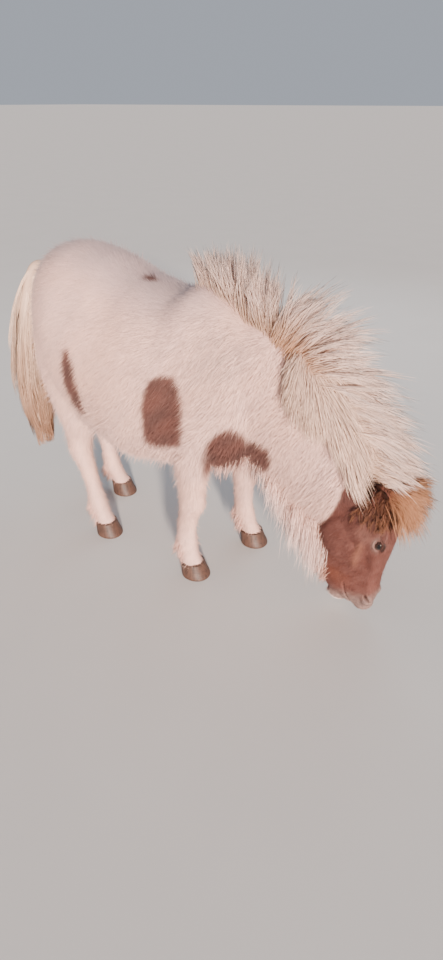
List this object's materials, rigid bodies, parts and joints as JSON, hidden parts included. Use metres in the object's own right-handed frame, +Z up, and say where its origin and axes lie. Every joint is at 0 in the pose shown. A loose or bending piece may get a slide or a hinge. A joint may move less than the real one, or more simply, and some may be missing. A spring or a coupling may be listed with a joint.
{
  "type": "shetland pony",
  "caption": "Life-size still model of a small shaggy Shetland pony grazing, head down, white coat with chestnut patches, long bushy mane and tail.",
  "frame": {"origin": "the point of the floor under the middle of the model's own box", "axes": "+X towards the head, +Y to the pony's left, +Z up, hooves on z = 0"},
  "size_m": [1.608, 0.496, 1.0683],
  "materials": {
    "coat_white": "long matt winter coat, cream white with chestnut patches",
    "coat_chestnut": "matt chestnut coat, white at the lower lip",
    "tail_hair": "long cream hair, light brown towards the ends",
    "hoof_horn": "dull horn",
    "eye": "wet gloss"
  },
  "bodies": {
    "root": {"torso": "coat_white", "neck": "coat_white", "head": "coat_chestnut", "ear_left": "coat_chestnut", "ear_right": "coat_chestnut", "eye_left": "eye", "eye_right": "eye", "foreleg_left": "coat_white", "foreleg_right": "coat_white", "hindleg_left": "coat_white", "hindleg_right": "coat_white", "hoof_fore_left": "hoof_horn", "hoof_fore_right": "hoof_horn", "hoof_hind_left": "hoof_horn", "hoof_hind_right": "hoof_horn", "tail": "tail_hair"}
  },
  "joints": []
}
